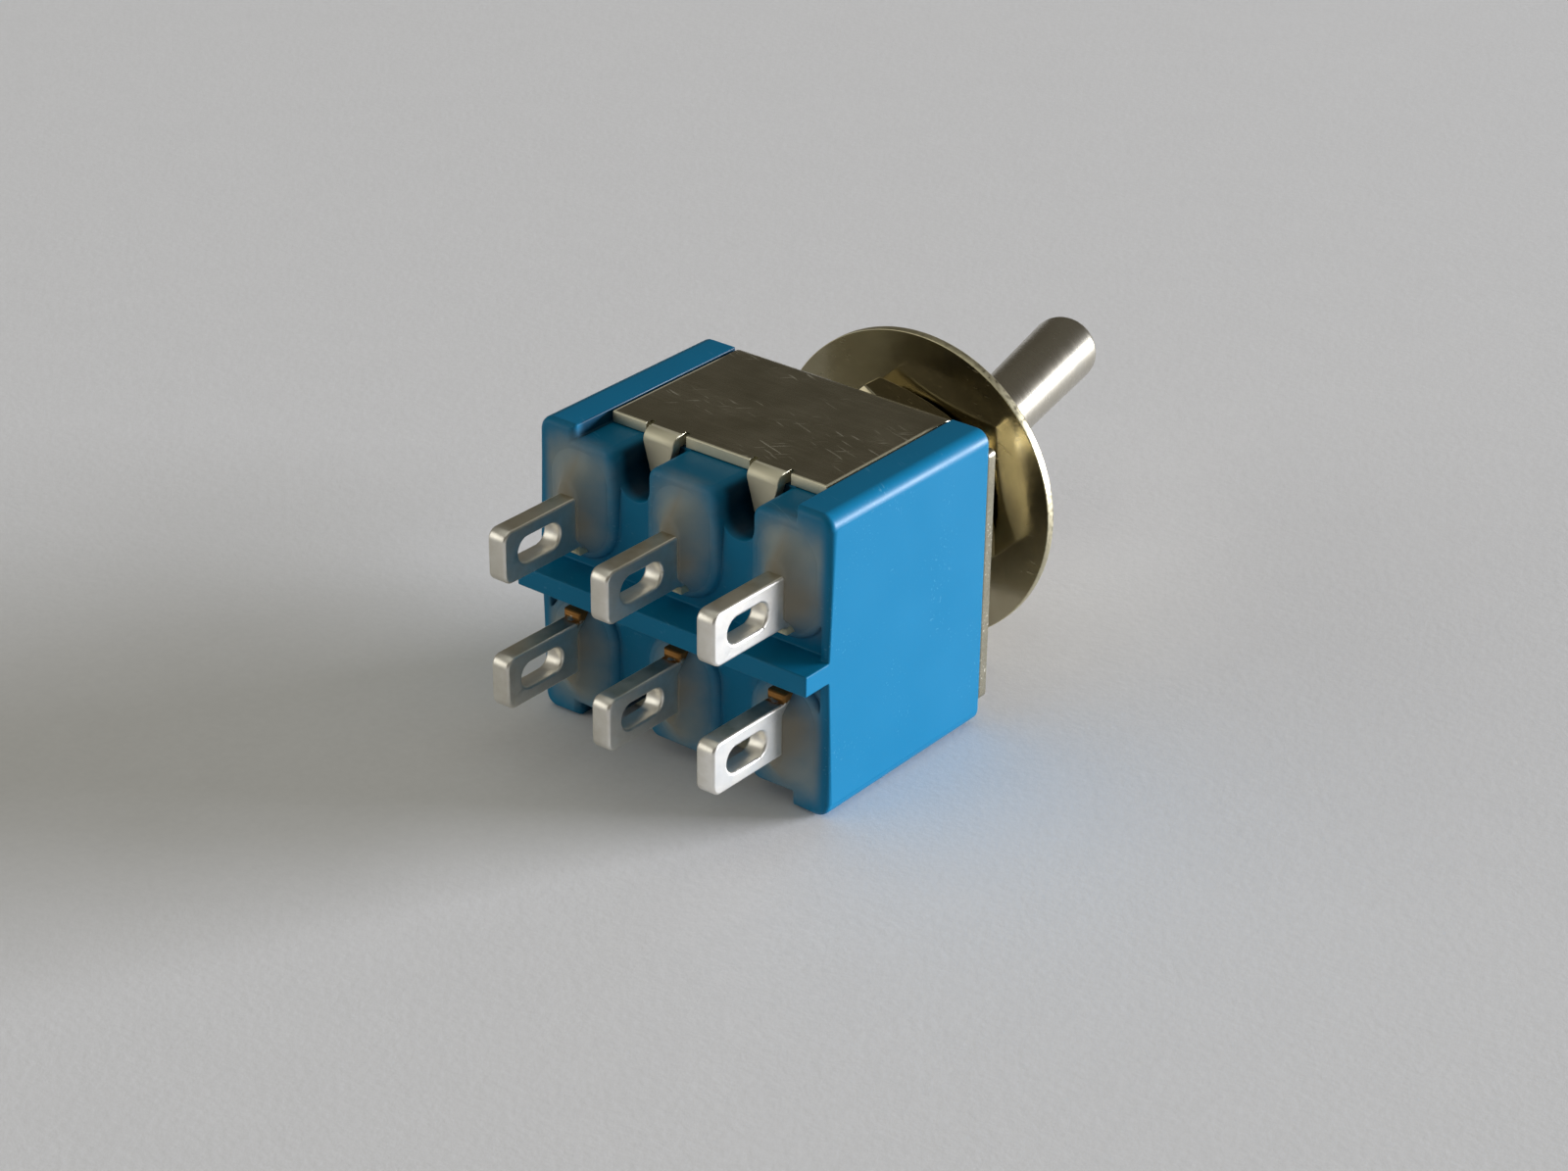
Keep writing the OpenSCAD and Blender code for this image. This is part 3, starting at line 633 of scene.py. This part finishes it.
# floor and light: paper under the switch, a low window at the right, the pale wall across from it
room = {"floorSize": 6.0, "floorGap": 0.01,
        "window": {"toward": (-0.66, -0.75), "lift": 6, "away": 1.9, "size": (1.0, 0.40), "power": 88,
                   "tint": (0.90, 0.92, 1.0)},
        "wall": {"toward": (0.66, 0.75), "lift": 18, "away": 1.5, "size": (1.4, 0.9), "power": 5.5,
                 "tint": (1.0, 0.98, 0.90)},
        "dim": (0.105, 0.096, 0.078, 1), "bright": (0.53, 0.53, 0.475, 1), "overhead": (0.66, 0.93)}


def setFloor(r):
    # the switch rests on the washer's rim and the case's terminal edge
    rim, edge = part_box("flat_washer"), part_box("case")
    rimY = (rim[0].y + rim[1].y) / 2
    slope = (edge[0].z - rim[0].z) / (edge[1].y - rimY)
    deselectAll()
    bpy.ops.mesh.primitive_plane_add(size=r["floorSize"])
    floor = bpy.context.active_object
    floor.name = "floor"
    lean = Matrix.Rotation(math.atan(slope), 4, "X")
    place(floor, Matrix.Translation((0, rimY, rim[0].z - r["floorGap"] * mm)) @ lean)
    floor.data.materials.append(makePaper(paper))


def setLights(r):
    for name in ("window", "wall"):
        lit = r[name]
        lift = math.radians(lit["lift"])
        flat = Vector((*lit["toward"], 0)).normalized() * math.cos(lift)
        at = (flat + Vector((0, 0, math.sin(lift)))) * lit["away"]
        bpy.ops.object.light_add(type="AREA", location=at)
        lamp = bpy.context.active_object
        lamp.name = name
        lamp.data.shape = "RECTANGLE"
        lamp.data.size, lamp.data.size_y = lit["size"]
        lamp.data.energy = lit["power"]
        lamp.data.color = lit["tint"]
        lamp.rotation_euler = (-at).to_track_quat("-Z", "Y").to_euler()
        lamp.visible_camera = False

    # dim all round and brighter overhead
    world = bpy.data.worlds.new("room")
    bpy.context.scene.world = world
    world.use_nodes = True
    tree = world.node_tree
    _, _, z = axesOf(tree, put(tree, "TexCoord").outputs["Generated"])
    share = remap(tree, z, r["overhead"], rise, True)
    colour = mixColours(tree, share, r["dim"], r["bright"])
    tree.links.new(colour, tree.nodes["Background"].inputs["Color"])
    bpy.context.scene.view_settings.view_transform = "Standard"


setFloor(room)
setLights(room)
print("room lit")


# a block with a round lower end, as the pillars have: its round end takes nearly the whole half width
roundEnd = {"share": 0.995, "steps": 14, "cornerSteps": 10, "weld": 0.01, "near": 0.1}


def roundedBlock(name, b):
    block = addBox(name, (-b["half"], b["base"], b["low"]), (b["half"], b["face"], b["high"]))
    editAll(block)
    pickEdges(block, lambda p, d, angle: abs(d.y) > along and p.z < b["low"] + roundEnd["near"])
    roundEdges(b["half"] * roundEnd["share"], roundEnd["steps"], True)
    if b["corner"]:
        pickEdges(block, lambda p, d, angle: abs(d.y) > along and p.z > b["high"] - roundEnd["near"])
        roundEdges(b["corner"], roundEnd["cornerSteps"])
    weld(block, roundEnd["weld"], False)
    return block


# moulded case: the solid's own form, its wells closed by the resin, with soft pillars and eased edges
caseShell = {"plug": {"half": 1.425, "low": 0.9, "high": 5.25, "base": 8.5, "face": terminalFace, "corner": 0},
             "pillarRound": 0.27, "pillarSteps": 4, "outline": 30, "rib": 0.5, "strip": 6.2, "stripNear": 0.03,
             "faceNear": 0.01, "edge": 0.06, "sharp": 38, "shade": 35}


def makeCase(c):
    shell = copyOfSolid("case", "caseShell")
    for turn in (0, math.pi):
        for x in (-1, 0, 1):
            filler = roundedBlock("filler", c["plug"])
            place(filler, Matrix.Translation((x * lugPitch * mm, 0, 0)) @ Matrix.Rotation(turn, 4, "Y"))
            cutWith(shell, filler, "UNION")
    weld(shell)

    def faceEdge(p, d, angle):
        # all of the terminal face's outlines but the inner edge of the narrow end strips
        strip = abs(d.z) > along and abs(abs(p.x) - c["strip"]) < c["stripNear"]
        onFace = abs(p.y - terminalFace) < c["faceNear"] and abs(p.z) > c["rib"]
        return angle > c["outline"] and onFace and not strip

    editAll(shell)
    pickEdges(shell, faceEdge)
    roundEdges(c["pillarRound"], c["pillarSteps"])
    deselectAll()
    applyModifier(shell, "BEVEL", width=c["edge"] * mm, segments=2, limit_method="ANGLE",
                  angle_limit=math.radians(c["sharp"]), use_clamp_overlap=False, miter_outer="MITER_ARC")
    smooth(shell, c["shade"])
    standFor(shell, blue, "case")


makeCase(caseShell)
print("case done")


# resin seals: a low swelling over each pillar that climbs the lug, ring by ring (half x, half z, middle z, level)
sealShape = {"half": 1.34, "low": 1.02, "high": 5.10, "base": 9.40, "face": 9.53, "corner": 1.2, "shade": 70,
             "rings": ((1.24, 1.95, 3.02, 9.57), (1.08, 1.83, 3.00, 9.63), (0.92, 1.70, 2.96, 9.72),
                       (0.78, 1.58, 2.92, 9.82), (0.66, 1.48, 2.88, 9.93), (0.57, 1.40, 2.83, 10.04),
                       (0.50, 1.33, 2.78, 10.14), (0.45, 1.27, 2.72, 10.22))}


def makeSeals(s):
    seal = roundedBlock("sealStart", s)
    editAll(seal)
    pickFaces(seal, lambda p, n: n.y > along)
    wide, tall = s["half"], (s["high"] - s["low"]) / 2
    middle, level = (s["high"] + s["low"]) / 2, s["face"]
    for ringWide, ringTall, ringMiddle, ringLevel in s["rings"]:
        step = Vector((0, ringLevel - level, ringMiddle - middle)) * mm
        bpy.ops.mesh.extrude_region_move(TRANSFORM_OT_translate={"value": step})
        bpy.ops.transform.resize(value=(ringWide / wide, 1, ringTall / tall),
                                 center_override=Vector((0, 0, ringMiddle)) * mm)
        wide, tall, middle, level = ringWide, ringTall, ringMiddle, ringLevel
    deselectAll()
    smooth(seal, s["shade"], False)
    for row, turn in (("upper", 0), ("lower", math.pi)):
        for column, x in (("left", 1), ("mid", 0), ("right", -1)):
            piece = copyOf(seal, "seal" + row.title() + column.title())
            place(piece, Matrix.Translation((x * lugPitch * mm, 0, 0)) @ Matrix.Rotation(turn, 4, "Y"))
            standFor(piece, resin, f"seal_{row}_{column}")
    bpy.data.objects.remove(seal)


makeSeals(sealShape)
print("seals done")


# steel frame: sheared and bent sheet, its edges just broken except in the slits beside the tabs
steelFrame = {"edge": 0.05, "sharp": 38, "tabAt": 2.35, "slit": (0.65, 0.97), "slitEnds": (7.2, 7.6), "shade": 35}


def makeFrame(f):
    sheet = copyOfSolid("frame", "steelFrame")

    def brokenEdge(p, d, angle):
        near, far = f["slit"]
        start, end = f["slitEnds"]
        inSlit = near < abs(abs(p.x) - f["tabAt"]) < far and start < p.y < end
        return angle > f["sharp"] and not inSlit

    editAll(sheet)
    pickEdges(sheet, brokenEdge)
    roundEdges(f["edge"], slide=False)
    deselectAll()
    smooth(sheet, f["shade"])
    standFor(sheet, steel, "frame")


makeFrame(steelFrame)
print("frame done")


# terminals: stamped lugs, rounded by the tinning where they stand out of the case
lugFinish = {"edge": 0.11, "steps": 3, "sharp": 38, "sunk": 0.2, "shade": 40}


def makeTerminals(t):
    for row in ("upper", "lower"):
        for column in ("left", "mid", "right"):
            name = f"terminal_{row}_{column}"
            lug = copyOfSolid(name, "lug" + row.title() + column.title())
            editAll(lug)
            pickEdges(lug, lambda p, d, angle: angle > t["sharp"] and p.y > terminalFace - t["sunk"])
            roundEdges(t["edge"], t["steps"])
            deselectAll()
            smooth(lug, t["shade"])
            standFor(lug, tinned, name)


makeTerminals(lugFinish)
print("terminals done")


# threaded bushing: a turned core, a helical ridge round it and the keyway through both
bushingShape = {"outer": 3.0, "core": 2.60, "length": 8.5, "shoulder": 0.35, "runOut": 0.3, "lip": 0.08,
                "stake": {"flare": 2.5, "outer": 3.3, "spigot": 2.7, "low": -0.85, "high": -0.45},
                "bore": {"mouth": 2.15, "neck": 1.8, "neckAt": 1.346, "wide": 2.2, "seatAt": 0.488, "low": -0.2},
                "thread": {"pitch": 0.75, "turns": 11, "steps": 72, "foot": 2.5, "crest": 0.06, "root": 0.33,
                           "start": 0.2, "chamfer": 0.32, "over": 0.02, "weld": 0.001},
                "key": {"half": 0.45, "floor": 2.55, "out": 3.6, "over": 0.5, "ridgeFloor": 2.45}, "shade": 30}


def keyway(b, floor):
    key = b["key"]
    return addBox("keyway", (-key["half"], -key["out"], 0), (key["half"], -floor, b["length"] + key["over"]))


def makeThread(b):
    # the ridge's section, carried round and up by a Screw and turned off at both ends
    t, outer, top = b["thread"], b["outer"], b["length"]
    deselectAll()
    bpy.ops.mesh.primitive_plane_add(size=mm)
    ridge = bpy.context.active_object
    editAll(ridge)
    bpy.ops.mesh.delete(type="ONLY_FACE")
    bm = bmesh.from_edit_mesh(ridge.data)
    section = [(t["foot"], -t["root"]), (outer, -t["crest"]), (outer, t["crest"]), (t["foot"], t["root"])]
    order = sorted(bm.verts, key=lambda v: math.atan2(v.co.y, v.co.x))
    for v, (r, z) in zip(order, section):
        v.co = Vector((r, 0, z + b["shoulder"] + b["runOut"])) * mm
    bmesh.update_edit_mesh(ridge.data)
    deselectAll()
    applyModifier(ridge, "SCREW", axis="Z", angle=math.tau, screw_offset=t["pitch"] * mm, iterations=t["turns"],
                  steps=t["steps"], render_steps=t["steps"], use_merge_vertices=True,
                  merge_threshold=t["weld"] * mm)
    editAll(ridge)
    bpy.ops.mesh.fill_holes(sides=0)
    faceOut()
    deselectAll()
    wide, end = outer + t["over"], top - t["over"]
    limit = spinProfile("limit", [(0, t["start"]), (wide, t["start"]), (wide, top - t["chamfer"]),
                                  (outer - t["chamfer"], end), (0, end)])
    cutWith(ridge, limit, "INTERSECT")
    cutWith(ridge, keyway(b, b["key"]["ridgeFloor"]))
    return ridge


def makeBushing(b):
    stake, bore, top = b["stake"], b["bore"], b["length"]
    core = spinProfile("bushingPiece", [
        (stake["flare"], stake["low"]), (stake["outer"], stake["low"]), (stake["outer"], stake["high"]),
        (stake["spigot"], stake["high"]), (stake["spigot"], 0), (b["outer"], 0), (b["outer"], b["shoulder"]),
        (b["core"], b["shoulder"] + b["runOut"]), (b["core"], top - b["lip"]), (b["core"] - b["lip"], top),
        (bore["mouth"], top), (bore["neck"], pivotHeight + bore["neckAt"]),
        (bore["wide"], pivotHeight + bore["seatAt"]), (bore["wide"], bore["low"])])
    cutWith(core, keyway(b, b["key"]["floor"]))
    ridge = makeThread(b)
    activate(core)
    ridge.select_set(True)
    bpy.ops.object.join()
    place(core, layDown)
    smooth(core, b["shade"])
    standFor(core, nickel, "bushing")


makeBushing(bushingShape)
print("bushing done")


# hex nuts: a bored and countersunk blank, turned off at its corners and milled to six sides
nutShape = {"flats": 8.0, "thick": 1.9, "faceRadius": 3.8, "chamfer": 30, "spare": 0.05, "bore": 2.98, "sink": 0.25,
            "weld": 0.01, "edge": 0.05, "sharp": 25, "shade": 28,
            "turns": {"rear_nut": ("rearNut", 46), "front_nut": ("frontNut", 0)}}  # the blank has a flat toward +X


def makeNuts(n):
    corner = n["flats"] / math.sqrt(3)
    slope = math.tan(math.radians(n["chamfer"]))
    t, wide, face = n["thick"], corner + n["spare"], n["faceRadius"]
    eased = (corner - face) * slope + n["spare"] * slope
    bore, sink = n["bore"], n["sink"]
    blank = spinProfile("nutBlank", [
        (bore + sink, 0), (face, 0), (wide, eased), (wide, t - eased), (face, t), (bore + sink, t),
        (bore, t - sink), (bore, sink)])
    deselectAll()
    bpy.ops.mesh.primitive_cylinder_add(vertices=6, radius=corner * mm, depth=2 * t * mm,
                                        location=(0, 0, t / 2 * mm))
    hexagon = bpy.context.active_object
    applyPlace()
    cutWith(blank, hexagon, "INTERSECT")
    weld(blank, n["weld"])
    applyModifier(blank, "BEVEL", width=n["edge"] * mm, segments=2, limit_method="ANGLE",
                  angle_limit=math.radians(n["sharp"]), use_clamp_overlap=True)
    smooth(blank, n["shade"])
    for node, (name, turn) in n["turns"].items():
        nut = copyOf(blank, name)
        seat = -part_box(node)[1].y  # height of the seat side, drawn upright
        spin = Matrix.Rotation(math.radians(turn), 4, "Z")
        place(nut, layDown @ Matrix.Translation((0, 0, seat)) @ spin)
        standFor(nut, nickel, node)
    bpy.data.objects.remove(blank)


makeNuts(nutShape)
print("nuts done")


# flat washer: a ring stretched inwards from a circle, given thickness, its die side rounded over
washerShape = {"outer": 6.2, "hole": 3.25, "thick": 0.45, "sides": 160, "height": 4.225, "shift": 0.1, "lean": 1.8,
               "sharp": 60, "rolled": 0.14, "rolledSteps": 4, "sheared": 0.04, "shade": 30}


def makeWasher(w):
    deselectAll()
    bpy.ops.mesh.primitive_circle_add(vertices=w["sides"], radius=w["outer"] * mm,
                                      location=(0, 0, -w["thick"] / 2 * mm))
    ring = bpy.context.active_object
    ring.name = "washerPiece"
    applyPlace()
    editAll(ring)
    bpy.ops.mesh.select_mode(type="EDGE")
    bpy.ops.mesh.extrude_edges_move()
    share = w["hole"] / w["outer"]
    bpy.ops.transform.resize(value=(share, share, 1), center_override=(0, 0, 0))
    faceOut()
    bpy.ops.mesh.extrude_region_move(TRANSFORM_OT_translate={"value": (0, 0, w["thick"] * mm)})
    faceOut()
    pickEdges(ring, lambda p, d, angle: angle > w["sharp"] and p.z > 0)
    roundEdges(w["rolled"], w["rolledSteps"])
    pickEdges(ring, lambda p, d, angle: angle > w["sharp"] and p.z < 0)
    roundEdges(w["sheared"])
    deselectAll()
    smooth(ring, w["shade"])
    tilt = Matrix.Rotation(math.radians(w["lean"]), 4, "Y")
    place(ring, layDown @ Matrix.Translation((0, w["shift"] * mm, w["height"] * mm)) @ tilt)
    standFor(ring, nickel, "flat_washer")


makeWasher(washerShape)
print("washer done")


# lever: tip, taper, ball and bored tail in one turned profile, thrown to its rest
leverShape = {"throw": 13, "long": 13.2, "stem": 1.247, "tip": 1.422, "tipRound": 0.6, "tipSteps": 10,
              "ball": 2.15, "ballSteps": 24, "tail": 1.05, "tailEnd": -5.0, "tailEdge": 0.08,
              "bore": 0.75, "boreEnd": -1.0, "shade": 30}


def makeLever(v):
    tail, end, bore, edge = v["tail"], v["tailEnd"], v["bore"], v["tailEdge"]
    down = math.degrees(math.acos(tail / v["ball"]))
    up = math.degrees(math.acos(v["stem"] / v["ball"]))
    profile = [(0, v["boreEnd"]), (bore, v["boreEnd"]), (bore, end + edge), (bore + edge, end),
               (tail - edge, end), (tail, end + edge)]
    profile += arc((0, 0), v["ball"], -down, up, v["ballSteps"])
    tipCentre = (v["tip"] - v["tipRound"], v["long"] - v["tipRound"])
    profile += arc(tipCentre, v["tipRound"], 0, 90, v["tipSteps"])
    profile += [(0, v["long"])]
    lever = spinProfile("leverPiece", profile)
    thrown = Matrix.Translation((0, 0, pivotHeight * mm)) @ Matrix.Rotation(math.radians(v["throw"]), 4, "Y")
    place(lever, layDown @ thrown)
    smooth(lever, v["shade"])
    standFor(lever, leverNickel, "lever")


makeLever(leverShape)
print("lever done")


# the plunger's spring: its solid is smoothed and given its own mesh and finish
springPlay = {"seat": 1.0, "travel": 0.3, "shade": 60}


def makeSpring(w):
    coil = copyOfSolid("plunger_spring", "springPiece")
    smooth(coil, w["shade"], False)
    standFor(coil, inner["spring wire"], "plunger_spring")
    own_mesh(coil)


makeSpring(springPlay)
print("spring done")


# the works inside keep their solids and get their own finishes
works = {"natural nylon": ["plunger"], "sheet brass": ["rocker_upper", "rocker_lower"],
         "contact silver": ["contact_upper_left", "contact_upper_right",
                            "contact_lower_left", "contact_lower_right"]}
for finish, members in works.items():
    for member in members:
        nodes[member].data.materials.clear()
        nodes[member].data.materials.append(inner[finish])
print("works finished")

deselectAll()
